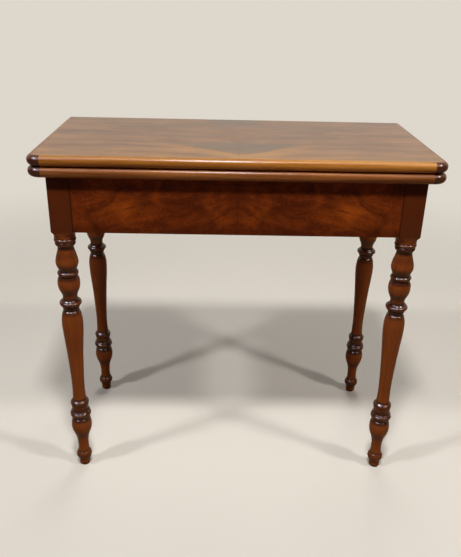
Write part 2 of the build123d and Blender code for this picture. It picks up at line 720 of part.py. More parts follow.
# Hinge links and the pins at their ends
lower_pin_height = lower_top - hinge_pin_inset
upper_pin_height = upper_bottom + hinge_pin_inset
pin_y = half_depth - hinge_pin_inset
link_inner = half_length - knuckle_depth + knuckle_cheek
for name, side in (("hinge_link_left", -1), ("hinge_link_right", 1)):
    link_plane = Plane(origin=(side * link_inner, pin_y, (lower_pin_height + upper_pin_height) / 2),
                       x_dir=(0, 0, 1), z_dir=(side, 0, 0))
    with BuildPart() as link:
        with BuildSketch(link_plane):
            SlotCenterToCenter(upper_pin_height - lower_pin_height, 2 * link_end_radius)
            with GridLocations(upper_pin_height - lower_pin_height, 0, 2, 1):
                Circle(hinge_pin_radius + screw_play, mode=Mode.SUBTRACT)
        extrude(amount=link_thickness)
    keep(link.part, name)

pin_inner = half_length - knuckle_depth
pin_rise = edge_radius - hinge_pin_inset + hinge_pin_radius
pin_outer = half_length - edge_radius + sqrt(edge_radius**2 - pin_rise**2)
with BuildPart() as hinge_pins:
    for side in (-1, 1):
        for height in (lower_pin_height, upper_pin_height):
            with BuildSketch(Plane(origin=(side * pin_inner, pin_y, height), x_dir=(0, 1, 0),
                                   z_dir=(side, 0, 0))):
                Circle(hinge_pin_radius)
    extrude(amount=pin_outer - pin_inner)
keep(hinge_pins.part, "hinge_pins")
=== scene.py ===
"""Looks of a folding games table: polished mahogany, green baize, brass, iron and oak.

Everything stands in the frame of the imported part, in metres. The solids keep their shapes where
those are right; the turned legs and the cloths are surfaces of their own.
"""

import logging
import math
from abc import ABC, abstractmethod
from dataclasses import dataclass
from enum import Enum
from functools import cached_property
from typing import Any, Callable, Iterable

import bpy
import numpy as np
from mathutils import Matrix, Vector


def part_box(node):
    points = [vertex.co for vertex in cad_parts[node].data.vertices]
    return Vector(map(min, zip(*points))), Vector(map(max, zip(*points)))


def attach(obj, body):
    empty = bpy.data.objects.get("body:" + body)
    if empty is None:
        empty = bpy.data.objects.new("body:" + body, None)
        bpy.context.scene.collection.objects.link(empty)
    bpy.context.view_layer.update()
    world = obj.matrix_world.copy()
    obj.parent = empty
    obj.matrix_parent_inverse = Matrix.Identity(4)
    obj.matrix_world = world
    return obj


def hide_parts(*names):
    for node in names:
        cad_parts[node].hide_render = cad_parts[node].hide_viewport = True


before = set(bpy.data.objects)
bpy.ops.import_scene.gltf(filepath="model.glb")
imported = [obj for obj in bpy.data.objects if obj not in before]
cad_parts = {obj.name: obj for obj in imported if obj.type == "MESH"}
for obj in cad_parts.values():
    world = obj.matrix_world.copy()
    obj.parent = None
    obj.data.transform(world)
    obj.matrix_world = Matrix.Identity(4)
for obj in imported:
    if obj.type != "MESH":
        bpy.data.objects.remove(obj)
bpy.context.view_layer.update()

log = logging.getLogger("games_table")
MM = 0.001
SHARP_FROM = math.radians(38)
LAMPS_AIM = (0.0, 0.0, 0.6)
Triple = tuple[float, float, float]
Colour = tuple[float, float, float, float]


def shade(red: int, green: int, blue: int) -> Colour:
    """Turns a colour as seen on a screen into the linear one that a shader takes.

    Args:
        red: Red from 0 to 255.
        green: Green from 0 to 255.
        blue: Blue from 0 to 255.

    Returns:
        The linear colour with full alpha.
    """
    parts = [part / 255 for part in (red, green, blue)]
    return (*(part / 12.92 if part <= 0.04045 else ((part + 0.055) / 1.055) ** 2.4
              for part in parts), 1.0)


# ---- Shader maths ----


def arithmetic(operation: str, swapped: bool = False) -> Callable[..., "Signal"]:
    """Makes a method of Signal that adds a Math node.

    Args:
        operation: The Math node's operation.
        swapped: Whether the signal is the last input, as in a number less a signal.

    Returns:
        The method, which takes the node's other inputs and gives its result.
    """
    def method(signal: "Signal", *others: "Signal | float") -> "Signal":
        """Adds the node."""
        values = (*others, signal) if swapped else (signal, *others)
        return signal.recipe.add("Math", dict(enumerate(values)), {"operation": operation})

    return method


class Signal:
    """A value that varies over a surface, held by a node's socket; arithmetic on it adds nodes."""

    def __init__(self, recipe: "Recipe", socket: bpy.types.NodeSocket) -> None:
        """Keeps the recipe that the value belongs to and the socket that gives it."""
        self.recipe = recipe
        self.socket = socket

    __add__, __radd__ = arithmetic("ADD"), arithmetic("ADD", swapped=True)
    __sub__, __rsub__ = arithmetic("SUBTRACT"), arithmetic("SUBTRACT", swapped=True)
    __mul__, __rmul__ = arithmetic("MULTIPLY"), arithmetic("MULTIPLY", swapped=True)
    __truediv__, __pow__, maximum = arithmetic("DIVIDE"), arithmetic("POWER"), arithmetic("MAXIMUM")
    __abs__, exp, sin = arithmetic("ABSOLUTE"), arithmetic("EXPONENT"), arithmetic("SINE")

    def between(self, low: float, high: float, start: float = 0.0, end: float = 1.0) -> "Signal":
        """Turns the value smoothly from start to end as it goes from low to high.

        Args:
            low: Where the change starts.
            high: Where it ends, above low.
            start: What the value is below low.
            end: What it is above high.

        Returns:
            The eased value.
        """
        return self.recipe.add(
            "MapRange",
            {"Value": self, "From Min": low, "From Max": high, "To Min": start, "To Max": end},
            {"interpolation_type": "SMOOTHSTEP"})

    def fade(self, low: float, high: float) -> "Signal":
        """Falls smoothly from 1 to 0 as the value goes from low to high."""
        return self.between(low, high, 1.0, 0.0)

    def band(self, start: float, full: float, fall: float, end: float) -> "Signal":
        """Rises from 0 to 1 between start and full, and falls again between fall and end."""
        return self.between(start, full) * self.fade(fall, end)


class Recipe:
    """A material or world in the making: its nodes."""

    def __init__(self, name: str, shelf: Any = None) -> None:
        """Starts an empty material of that name.

        Args:
            name: Its name.
            shelf: The collection of data that it joins, if it isn't a material.
        """
        self.made = (bpy.data.materials if shelf is None else shelf).new(name)
        self.made.use_nodes = True
        self.tree = self.made.node_tree
        self.tree.nodes.clear()

    def add(self, kind: str, values: dict[str | int, Any] | None = None,
            settings: dict[str, Any] | None = None, output: str | int = 0) -> Signal:
        """Adds any node.

        Args:
            kind: The node's type after the word ShaderNode.
            values: The numbers, colours or links of its input sockets, by name or place.
            settings: What is set first, such as an operation.
            output: The socket that the caller needs.

        Returns:
            The chosen output.
        """
        node = self.tree.nodes.new(f"ShaderNode{kind}")
        for name, value in (settings or {}).items():
            setattr(node, name, value)
        for name, value in (values or {}).items():
            if isinstance(value, Signal):
                self.tree.links.new(value.socket, node.inputs[name])
            else:
                node.inputs[name].default_value = value
        return Signal(self, node.outputs[output] if len(node.outputs) else None)

    @cached_property
    def place(self) -> Signal:
        """The point of the object that is shaded."""
        return self.add("TexCoord", output="Object")

    @cached_property
    def axes(self) -> list[Signal]:
        """The shaded point's length, depth and height."""
        return self.split(self.place)

    def split(self, place: Signal) -> list[Signal]:
        """Gives a point's three coordinates."""
        return [self.add("SeparateXYZ", {0: place}, output=name) for name in "XYZ"]

    def noise(self, place: Signal | Iterable[Signal | float], scale: float = 1.0,
              detail: float = 3.0, roughness: float = 0.55, distortion: float = 0.0) -> Signal:
        """Gives a random value that changes smoothly from place to place.

        Args:
            place: Where the noise is read: a point, or its three coordinates.
            scale: How many changes there are in a unit.
            detail: How many finer layers are added.
            roughness: How strong the finer layers are.
            distortion: How far the noise is stirred.

        Returns:
            The noise, mostly from 0.3 to 0.7.
        """
        if not isinstance(place, Signal):
            place = self.add("CombineXYZ", dict(enumerate(place)))
        return self.add("TexNoise", {
            "Vector": place, "Scale": scale, "Detail": detail, "Roughness": roughness,
            "Distortion": distortion})

    def ramp(self, value: Signal, stops: list[tuple[float, Colour]]) -> Signal:
        """Gives a colour for a value."""
        made = self.add("ValToRGB", {0: value})
        elements = made.socket.node.color_ramp.elements
        while len(elements) < len(stops):
            elements.new(1.0)
        for element, (position, colour) in zip(elements, stops):
            element.position, element.color = position, colour
        return made

    def stain(self, colour: Signal | Colour,
              *coats: tuple[Signal, Signal | Colour]) -> Signal | Colour:
        """Mixes other colours into a colour, one after another.

        Args:
            colour: The colour to start from.
            *coats: The share of each other colour, and that colour.

        Returns:
            The mixed colour.
        """
        for share, coat in coats:
            colour = self.add("Mix", {0: share, 6: colour, 7: coat}, {"data_type": "RGBA"}, 2)
        return colour

    def relief(self, height: Signal, depth: float, strength: float) -> Signal:
        """Turns a height into a tilt of the surface."""
        return self.add("Bump", {"Height": height, "Distance": depth, "Strength": strength})

    def light(self, kind: str, colour: Colour, strength: float) -> Signal:
        """Gives the shader of a glow: a world's Background or a surface's Emission."""
        return self.add(kind, {"Color": colour, "Strength": strength})

    def finish(self, surface: dict[str, Any]) -> bpy.types.Material:
        """Ends the material with one shader.

        Args:
            surface: The sockets of the shader and what goes into them.

        Returns:
            The finished material.
        """
        shader = self.add("BsdfPrincipled", surface)
        self.add("OutputMaterial", {"Surface": shader})
        return self.made

    def cross(self, share: Signal, first: Signal, second: Signal) -> Signal:
        """Mixes two shaders by a share of the second."""
        return self.add("MixShader", {0: share, 1: first, 2: second})


# ---- Finishes ----


class Run(Enum):
    """The direction that the grain runs in, as the place of its axis."""

    LENGTH = 0
    DEPTH = 1
    HEIGHT = 2


@dataclass(frozen=True)
class Gloss:
    """How a surface shines.

    Attributes:
        roughness: How dull the wood is under its polish.
        specular: How strongly the wood itself mirrors.
        coat: How much polish there is.
        coat_roughness: How dull the polish is.
        pore_depth: How deep the relief of the open pores is.
    """

    roughness: float
    specular: float
    coat: float
    coat_roughness: float
    pore_depth: float = 0.06 * MM

    def sockets(self, pores: Signal, patches: float) -> dict[str, Any]:
        """Gives the shader's sockets, with a shine that is uneven in patches.

        Args:
            pores: The mask of the pores.
            patches: How many patches there are in a metre.

        Returns:
            The sockets by name.
        """
        recipe = pores.recipe
        wander = recipe.noise(recipe.place, patches)
        return {
            "Roughness": self.roughness - 0.05 + wander * 0.1,
            "Specular IOR Level": self.specular,
            "Coat Weight": self.coat * (0.8 + wander * 0.4),
            "Coat Roughness": self.coat_roughness,
            "Coat IOR": 1.5,
            "Normal": recipe.relief(wander * 0.4 - pores * 0.6, self.pore_depth, 0.5),
        }


@dataclass(frozen=True)
class Tones:
    """The colours of a wood.

    Attributes:
        dark: The colour of its dark streaks.
        middle: Its main colour.
        light: The colour of its light streaks.
    """

    dark: Colour
    middle: Colour
    light: Colour

    @classmethod
    def seen(cls, *colours: tuple[int, int, int]) -> "Tones":
        """Makes tones from three colours as seen on a screen."""
        return cls(*(shade(*colour) for colour in colours))

    def read(self, value: Signal, spread: float = 0.14) -> Signal:
        """Gives the colour for a value.

        Args:
            value: The value, about 0.5.
            spread: How far from 0.5 the dark and the light tone are reached.

        Returns:
            The colour.
        """
        return value.recipe.ramp(value, [(0.5 - spread, self.dark), (0.5, self.middle),
                                         (0.5 + spread, self.light)])


@dataclass(frozen=True)
class Grain:
    """The streaks, bands and pores of a straight-grown board.

    Attributes:
        run: The direction that the grain runs in.
        fine: How many fine streaks there are across a metre.
        broad: How many broad bands there are across a metre.
        curl: How far the streaks wander sideways.
    """

    run: Run = Run.LENGTH
    fine: float = 190.0
    broad: float = 28.0
    curl: float = 6 * MM

    def read(self, recipe: Recipe) -> tuple[Signal, Signal]:
        """Gives the grain: layers of noise that is long along the grain and narrow across it.

        Args:
            recipe: The material in the making.

        Returns:
            The tone of the wood, about 0.5, and a mask of its pores.
        """
        sway = (recipe.noise(recipe.place, 5.0, 2.0) - 0.5) * (2 * self.curl)
        streaks, bands, pores = (
            recipe.noise([axis * along if number == self.run.value else (axis + sway) * across
                          for number, axis in enumerate(recipe.axes)], 1.0, *settings)
            for along, across, *settings in ((self.fine / 40, self.fine, 5.0, 0.62),
                                             (self.broad / 14, self.broad, 2.0),
                                             (70.0, 1500.0, 2.0)))
        return streaks * 0.5 + bands * 0.5, pores.between(0.58, 0.68)


@dataclass(frozen=True)
class Wood(ABC):
    """Polished wood.

    Attributes:
        name: The material's name.
        tones: Its colours.
        gloss: Its shine.
        patches: How many patches of uneven shine there are in a metre.
    """

    name: str
    tones: Tones
    gloss: Gloss
    patches: float = 14.0

    @abstractmethod
    def tone(self, recipe: Recipe) -> tuple[Signal, Signal]:
        """Gives the wood's colour and its pores.

        Args:
            recipe: The material in the making.

        Returns:
            The colour and the mask of the pores.
        """

    def age(self, recipe: Recipe, surface: dict[str, Any]) -> None:
        """Changes the surface in some places; most wood is left as it is.

        Args:
            recipe: The material in the making.
            surface: The sockets of the shader and what goes into them.
        """

    def make(self) -> bpy.types.Material:
        """Makes the material."""
        recipe = Recipe(self.name)
        colour, pores = self.tone(recipe)
        surface = {"Base Color": colour, **self.gloss.sockets(pores, self.patches)}
        self.age(recipe, surface)
        return recipe.finish(surface)


@dataclass(frozen=True)
class Board(Wood):
    """Straight-grained wood.

    Attributes:
        grain: Its grain.
    """

    grain: Grain = Grain()

    def tone(self, recipe: Recipe) -> tuple[Signal, Signal]:
        """Gives the board's colour and its pores."""
        value, pores = self.grain.read(recipe)
        return recipe.stain(self.tones.read(value), (pores * 0.55, self.tones.dark)), pores


@dataclass(frozen=True)
class FrontMoulding(Board):
    """The round edge along the front: painted shade towards the groove, painted highlight and wear
    on the upper arris.

    Attributes:
        groove: The height of the groove in the closed table.
        arris: The height of the upper leaf's arris.
        rounded: How far forward the round of the edge starts.
        groove_painted_shade: The colour of the painted shade in the groove.
        worn: The colour of the arris, lighter by wear and by a painted highlight.
    """

    groove: float = 723.8 * MM
    arris: float = 743.0 * MM
    rounded: float = -184 * MM
    groove_painted_shade: Colour = shade(96, 40, 14)
    worn: Colour = shade(218, 168, 96)

    def age(self, recipe: Recipe, surface: dict[str, Any]) -> None:
        """Darkens the round towards the groove as painted shade, and lightens the arris as painted
        highlight and wear.
        """
        _, depth, height = recipe.axes
        # Painted shade: the round darkens towards the groove between the leaves.
        groove_shade_share = abs(height - self.groove).fade(0.6 * MM, 3 * MM)
        front = depth.fade(self.rounded - 4 * MM, self.rounded)
        # Painted highlight, with wear: the upper arris is lightened.
        edge = abs(height - self.arris).fade(0.8 * MM, 2.6 * MM)
        surface["Base Color"] = recipe.stain(
            surface["Base Color"], (groove_shade_share * front * 0.6, self.groove_painted_shade), (edge * 0.2, self.worn))


@dataclass(frozen=True)
class SideMoulding(Board):
    """The round edge along a side, whose end grain shows where it turns the front corner.

    Attributes:
        end_until: How far back from the middle the corner shows mostly end grain.
        turn: The depth over which the end grain gives way to long grain.
        end_grain: The colour of the end grain.
    """

    end_until: float = -190 * MM
    turn: float = 18 * MM
    end_grain: Colour = shade(52, 20, 15)

    def age(self, recipe: Recipe, surface: dict[str, Any]) -> None:
        """Darkens the corner round, where the moulding shows its end grain."""
        _, depth, _ = recipe.axes
        end = depth.fade(self.end_until, self.end_until + self.turn)
        surface["Base Color"] = recipe.stain(surface["Base Color"], (end * 0.9, self.end_grain))


@dataclass(frozen=True)
class TurnedWood(Board):
    """Wood turned on a lathe: polish gathers in the hollows and wears off the crests.

    Attributes:
        block_from: The height from which the leg is square.
        block: The colour that the square tends to, as painted shade.
        polished: The colour of the polish that has gathered among the rings.
        grimy: The colour of the hollows.
    """

    block_from: float = 579 * MM
    block: Colour = shade(68, 25, 7)
    polished: Colour = shade(44, 18, 12)
    grimy: Colour = shade(24, 9, 5)

    def age(self, recipe: Recipe, surface: dict[str, Any]) -> None:
        """Paints shade on the square and light from the floor on the foot; darkens rings and
        hollows, lightens crests, dulls what is smooth.
        """
        *_, height = recipe.axes
        square = height.between(self.block_from, self.block_from + 12 * MM)
        hollow, crest, busy = (
            recipe.add("Attribute", None, {"attribute_name": name}, "Fac")
            for name in ("hollow", "crest", "busy"))
        worn = recipe.noise(recipe.place, 60.0).between(0.42, 0.6)
        # Painted shade darkens the square; painted light, as thrown up from the floor, lightens the
        # foot.
        surface["Base Color"] = recipe.stain(
            surface["Base Color"], (square * 0.85, self.block),
            (height.between(0.04, 0.3, 0.5, 0.0), self.tones.light), (busy * 0.8, self.polished),
            (crest * worn * 0.3, self.tones.light), (hollow * 0.85, self.grimy))
        surface["Coat Weight"] = surface["Coat Weight"] * (0.35 + busy * 0.65)


def spot(along: Signal, height: Signal, centre: tuple[float, float],
         narrow: tuple[float, float]) -> Signal:
    """Gives a soft spot, exp(-(narrow * distance) squared) both along and up a veneer.

    Args:
        along: The place along the veneer.
        height: The height.
        centre: Where the spot is, along and up.
        narrow: How narrow it is, along and up.

    Returns:
        The spot, 1 at its centre.
    """
    return (((along - centre[0]) * narrow[0]) ** 2.0 * -1.0
            - ((height - centre[1]) * narrow[1]) ** 2.0).exp()


@dataclass(frozen=True)
class FlameVeneer(Wood):
    """Mottled mahogany veneer, its flame folded about the middle where two leaves are matched.

    Attributes:
        run: The direction of the veneer's length.
        matched: Whether the figure is mirrored about the middle.
        end: How far from the middle the veneer meets the legs.
        flame: The colour of the flame of matched leaves.
        joint: The dark colour of the veneer where it meets the legs.
    """

    tones: Tones = Tones.seen((60, 21, 6), (90, 35, 9), (122, 52, 13))
    gloss: Gloss = Gloss(0.4, 0.06, 0.1, 0.2)
    patches: float = 18.0
    run: Run = Run.LENGTH
    matched: bool = False
    end: float = 323.5 * MM
    flame: Colour = shade(144, 66, 14)
    joint: Colour = shade(26, 9, 4)

    def tone(self, recipe: Recipe) -> tuple[Signal, Signal]:
        """Gives the veneer's colour and its pores.

        The clouds are noise stirred by noise, and the fine grain leans towards the middle. Matched
        leaves are darker below, and have two bright flames and a dark blot each.
        """
        straight, height = recipe.axes[self.run.value], recipe.axes[Run.HEIGHT.value]
        along = abs(straight) if self.matched else straight
        drift = (recipe.noise((along, height, 0.3), 9.0, 2.0) - 0.5) * 0.06
        clouds = recipe.noise((along * 1.1 + drift, height * 1.5 - drift, 4.1),
                              15.0, 4.0, 0.55, 0.8)
        lean = height + along * 0.35 + drift * 0.6
        curls = recipe.noise((along * 12 + drift * 90, lean * 70, 2.0), 1.0, 4.0, 0.6, 0.4)
        fine = recipe.noise((along * 24, lean * 420, 7.0), 1.0, 4.0, 0.6)
        rings = recipe.noise((along * 1.3, height * 1.7 + drift, 8.0), 13.0, 1.0)
        whorls = (rings * 105).sin()
        value = clouds * 0.62 + curls * 0.2 + fine * 0.18 + whorls * 0.034
        pores = recipe.noise((along * 90, lean * 1300, 3.0), 1.0, 2.0).between(0.6, 0.7)
        dark = self.tones.dark
        coats = [(pores * 0.5, dark)]
        if self.matched:
            seam = along.fade(4 * MM, 30 * MM) * 0.35 + along.fade(0.4 * MM, 1.6 * MM) * 0.4
            bright = (spot(along, height, (0.225, 0.638), (20, 42)) * 2.0
                      + spot(along, height, (0.035, 0.634), (34, 44)))
            blot = spot(along, height, (0.092, 0.640), (30, 60))
            right = straight.between(-0.12, 0.12, 0.7, 1.0)
            lively = clouds * curls.between(0.3, 0.62) * right
            coats = [(seam, dark), *coats, (height.fade(0.59, 0.622) * 0.45, dark),
                     (bright * lively, self.flame), (blot * (0.3 + whorls * 0.15), dark)]
        end = abs(along).between(self.end - 3.2 * MM, self.end - 0.6 * MM)
        return recipe.stain(self.tones.read(value), *coats, (end * 0.85, self.joint)), pores


@dataclass(frozen=True)
class TopVeneer(Wood):
    """The veneer of the top: two matched leaves whose grain dips to a point at the front.

    Attributes:
        dip: How far the grain dips at the seam.
        spread: How far from the seam the dip dies away.
        point: The depth of the point of the dark figure.
        rise: How steeply the figure's front edge rises from its point.
        shadow: The colour of the dark figure, and of the patch at the rear.
        ochre: The colour of the wood in front of the figure and along the front edge.
    """

    name: str = "top_veneer"
    tones: Tones = Tones.seen((91, 57, 31), (117, 77, 43), (142, 95, 53))
    gloss: Gloss = Gloss(0.34, 0.14, 0.68, 0.16)
    patches: float = 16.0
    dip: float = 85 * MM
    spread: float = 85 * MM
    point: float = -161 * MM
    rise: float = 0.66
    shadow: Colour = shade(84, 71, 57)
    ochre: Colour = shade(168, 115, 50)

    def tone(self, recipe: Recipe) -> tuple[Signal, Signal]:
        """Gives the veneer's colour and its pores.

        A bent depth, the true one plus dip times exp(-distance from the seam / spread), is the same
        all along one line of the grain; the dip dies away towards the rear. The dark figure lies
        behind a V whose front edge is at point plus rise times the distance from the seam.
        """
        length, depth, _ = recipe.axes
        side = abs(length)
        sway = (recipe.noise((length * 2, depth * 5, 0.0), 1.8, 4.0) - 0.5) * 0.022
        bent = depth + (side / -self.spread).exp() * depth.fade(-0.13, 0.05) * self.dip + sway
        bands = recipe.noise((side * 3.5, bent * 38, 0.0), 1.0, 4.0, 0.55)
        streaks = recipe.noise((side * 13, bent * 240, 1.0), 1.0, 4.0, 0.6)
        clouds = recipe.noise((length * 9, depth * 14, 2.0), 1.0, 4.0, 0.6, 0.6)
        value = bands * 0.42 + streaks * 0.28 + clouds * 0.3
        hue = recipe.noise((side * 5, bent * 24, 9.0)).between(0.45, 0.62)
        stir = clouds - 0.5
        past = (depth + sway + (streaks - 0.5) * 0.07 + stir * 0.08
                - side * self.rise - self.point)
        figure = (past.between(-0.008, 0.02) * (depth + stir * 0.12).fade(-0.11, 0.01)
                  * side.fade(0.05, 0.19))
        patch = (depth + sway + stir * 0.1).between(0.09, 0.15) * side.fade(0.02, 0.11)
        share = (figure + patch * 0.8) * (bands * 0.9 + clouds * 0.7)
        glow = past.band(-0.07, -0.01, -0.009, 0.007) * side.fade(0.1, 0.2)
        rim = depth.fade(-0.184, -0.166) * 0.3 + depth.fade(-0.17, -0.06) * bands * 0.5
        pores = recipe.noise((side * 60, bent * 1400, 3.0), 1.0, 2.0).between(0.6, 0.7)
        return recipe.stain(
            self.tones.read(value, 0.1), (hue * 0.22, self.shadow),
            (share.between(0.0, 1.0), self.shadow), (glow * 0.42 + rim, self.ochre),
            (side.fade(0.3 * MM, 1.2 * MM) * 0.3, self.tones.dark),
            (pores * 0.35, self.tones.dark)), pores


@dataclass(frozen=True)
class Baize:
    """Green woollen cloth with a short felted nap, faded unevenly."""

    name: str = "green_baize"
    deep: Colour = shade(24, 60, 38)
    worn: Colour = shade(44, 84, 54)

    def make(self) -> bpy.types.Material:
        """Makes the material: faded clouds under fine crossed fibres."""
        recipe = Recipe(self.name)
        length, depth, _ = recipe.axes
        fade = recipe.noise(recipe.place, 9.0, 4.0, 0.6)
        fibres = recipe.noise((length * 900, depth * 260, 0.0), 1.0, 4.0, 0.7)
        crossed = recipe.noise((length * 260, depth * 900, 5.0), 1.0, 4.0, 0.7)
        nap = fibres * 0.5 + crossed * 0.5
        stops = [(0.38, self.deep), (0.64, self.worn)]
        return recipe.finish({
            "Base Color": recipe.ramp(fade * 0.3 + nap * 0.7, stops),
            "Roughness": 0.86 + nap * 0.1,
            "Specular IOR Level": 0.15,
            "Sheen Weight": 0.25,
            "Sheen Roughness": 0.5,
            "Normal": recipe.relief(nap, 0.25 * MM, 0.7),
        })


@dataclass(frozen=True)
class Metal:
    """Worked metal with a handled surface.

    Attributes:
        name: The material's name.
        bright: The colour of the clean metal.
        dull: The colour where it has tarnished or rusted.
        roughness: How dull the clean metal is.
        tarnish: How much of it has gone dull, from 0 to 1.
    """

    name: str
    bright: Colour
    dull: Colour
    roughness: float
    tarnish: float

    def make(self) -> bpy.types.Material:
        """Makes the material: tarnish in clouds, with fine scratches in the shine."""
        recipe = Recipe(self.name)
        clouds = recipe.noise(recipe.place, 130.0, 5.0, 0.65)
        scratches = recipe.noise([axis * scale for axis, scale in
                                  zip(recipe.axes, (2400.0, 300.0, 500.0))], 1.0, 2.0)
        gone = clouds.between(0.62 - 0.3 * self.tarnish, 0.78 - 0.3 * self.tarnish)
        return recipe.finish({
            "Base Color": recipe.stain(self.bright, (gone, self.dull)),
            "Metallic": 1.0 - gone * 0.35,
            "Roughness": self.roughness + gone * 0.25 + (scratches - 0.5) * 0.2,
            "Normal": recipe.relief(clouds * 0.6 + scratches * 0.4, 0.03 * MM, 0.6),
        })


# ---- Surfaces ----


def stand(name: str, data: Any) -> bpy.types.Object:
    """Makes an object of a mesh, a lamp or a camera and puts it into the scene."""
    made = bpy.data.objects.new(name, data)
    bpy.context.scene.collection.objects.link(made)
    return made


def skin(name: str, rings: np.ndarray, finish: bpy.types.Material,
         traits: dict[str, np.ndarray] | None = None) -> bpy.types.Object:
    """Makes a closed piece from rings of points.

    Ring r and column c give the point at rings[r, c]. Neighbouring rings are joined by four-sided
    faces, the last column meets the first, and one face closes each end. Rings that turn
    anticlockwise about the direction in which they follow each other give outward faces.

    Args:
        name: The piece's name.
        rings: The points, as rings by columns by three.
        finish: The material.
        traits: Values for each ring, kept as attributes that the material reads.

    Returns:
        The piece, smooth except at its sharp edges.
    """
    count, around, _ = rings.shape
    ring, column = np.meshgrid(np.arange(count - 1), np.arange(around), indexing="ij")
    following = (column + 1) % around
    quads = np.stack([ring * around + column, ring * around + following,
                      (ring + 1) * around + following, (ring + 1) * around + column], axis=-1)
    ends = [np.arange(around)[::-1].tolist(), (np.arange(around) + (count - 1) * around).tolist()]
    mesh = bpy.data.meshes.new(name)
    mesh.from_pydata(rings.reshape(-1, 3).tolist(), [], quads.reshape(-1, 4).tolist() + ends)
    mesh.polygons.foreach_set("use_smooth", np.ones(len(mesh.polygons), dtype=bool))
    for trait, values in (traits or {}).items():
        mesh.attributes.new(trait, "FLOAT", "POINT").data.foreach_set(
            "value", np.repeat(values, around).astype(np.float32))
    mesh.set_sharp_from_angle(angle=SHARP_FROM)
    mesh.materials.append(finish)
    return stand(name, mesh)


def running_mean(values: np.ndarray, step: float, window: float) -> np.ndarray:
    """Gives the mean of each value and its neighbours; the end values are repeated.

    Args:
        values: The values.
        step: The distance between two of them.
        window: The length that the mean is taken over.

    Returns:
        The means.
    """
    width = int(window / step) | 1
    padded = np.pad(values, width // 2, mode="edge")
    return np.convolve(padded, np.ones(width) / width, mode="valid")


def through(points: np.ndarray, count: int = 22) -> np.ndarray:
    """Runs a smooth curve through some points.

    Two points give a straight line and three the arc of the circle through them. More give a
    natural cubic spline over the length of the chords: its second derivatives solve one system.

    Args:
        points: The points, one in a row.
        count: How many points the curve gets.

    Returns:
        The points of the curve.
    """
    steps = np.diff(points, axis=0)
    if len(points) == 2:
        return points[0] + np.linspace(0, 1, 4)[:, None] * steps
    if len(points) == 3:
        centre = np.linalg.solve(2 * steps, np.diff((points**2).sum(1)))
        spokes = points - centre
        turn = np.unwrap(np.arctan2(spokes[:, 1], spokes[:, 0]))
        angle = np.linspace(turn[0], turn[2], count)
        return centre + np.hypot(*spokes[0]) * np.stack([np.cos(angle), np.sin(angle)], axis=1)
    size, chords = len(points), np.hypot(*steps.T)
    knots = np.concatenate([[0.0], np.cumsum(chords)])
    system, right = np.eye(size), np.zeros((size, 2))
    inner = np.arange(1, size - 1)
    system[inner, inner - 1] = chords[:-1]
    system[inner, inner] = 2 * (chords[:-1] + chords[1:])
    system[inner, inner + 1] = chords[1:]
    right[inner] = 6 * np.diff(steps / chords[:, None], axis=0)
    bends = np.linalg.solve(system, right)
    where = np.linspace(0, knots[-1], count + 2 * size)
    piece = np.clip(np.searchsorted(knots, where, side="right") - 1, 0, size - 2)
    after, before = (where - knots[piece])[:, None], (knots[piece + 1] - where)[:, None]
    width = chords[piece][:, None]
    start = points[piece] / width - bends[piece] * width / 6
    end = points[piece + 1] / width - bends[piece + 1] * width / 6
    cubic = (bends[piece] * before**3 + bends[piece + 1] * after**3) / (6 * width)
    return cubic + start * before + end * after


# ---- Sub-assemblies ----

# A leg's turning from the floor up, in thousandths of the turned height and of the radius: where it
# starts, and the stretches, each of which starts where the one before it ends
FOOT = (0, 420)
TURNING = [
    # The toe, its ring and the lower bulb
    [(3, 490), (12, 525), (32, 560)], [(49, 755), (66, 580)],
    [(81, 525), (100, 510), (122, 545), (145, 660), (167, 855), (190, 975), (210, 955), (227, 850)],
    # The rings below the shaft
    [(230, 790)], [(235, 885), (239, 870)], [(248, 1000), (257, 900)], [(260, 925), (264, 830)],
    [(272, 750), (280, 765)], [(285, 820), (290, 790)], [(300, 875), (309, 775)], [(315, 640)],
    # The shaft
    [(341, 600), (402, 600), (472, 680), (553, 805), (618, 935), (653, 965), (683, 905),
     (703, 770)],
    # The rings above it
    [(707, 700), (713, 710)], [(717, 780), (722, 765)], [(726, 860)], [(734, 1000), (744, 800)],
    # The upper bulbs, with a ring between them
    [(748, 700)], [(757, 655), (769, 690), (784, 850), (810, 995), (830, 950), (840, 850)],
    [(844, 800)], [(853, 940), (861, 800)], [(865, 770)],
    [(876, 880), (890, 995), (910, 955), (931, 810), (947, 715), (954, 700)],
    # The collar below the square
    [(958, 780)], [(965, 900), (973, 860)], [(980, 965), (986, 900)], [(990, 925)], [(1000, 930)],
]


def keep(node: str, finish: bpy.types.Material) -> None:
    """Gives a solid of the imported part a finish.

    Args:
        node: The solid's name.
        finish: The material for all its faces.
    """
    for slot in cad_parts[node].material_slots:
        slot.material = finish
    log.info("kept %s in %s", node, finish.name)


def settle(piece: bpy.types.Object, body: str, node: str) -> None:
    """Puts a new piece in the place of a solid.

    Args:
        piece: The new piece.
        body: The body that it moves with.
        node: The solid that it stands for.
    """
    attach(piece, body)
    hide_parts(node)
    log.info("made %s for %s", piece.name, node)


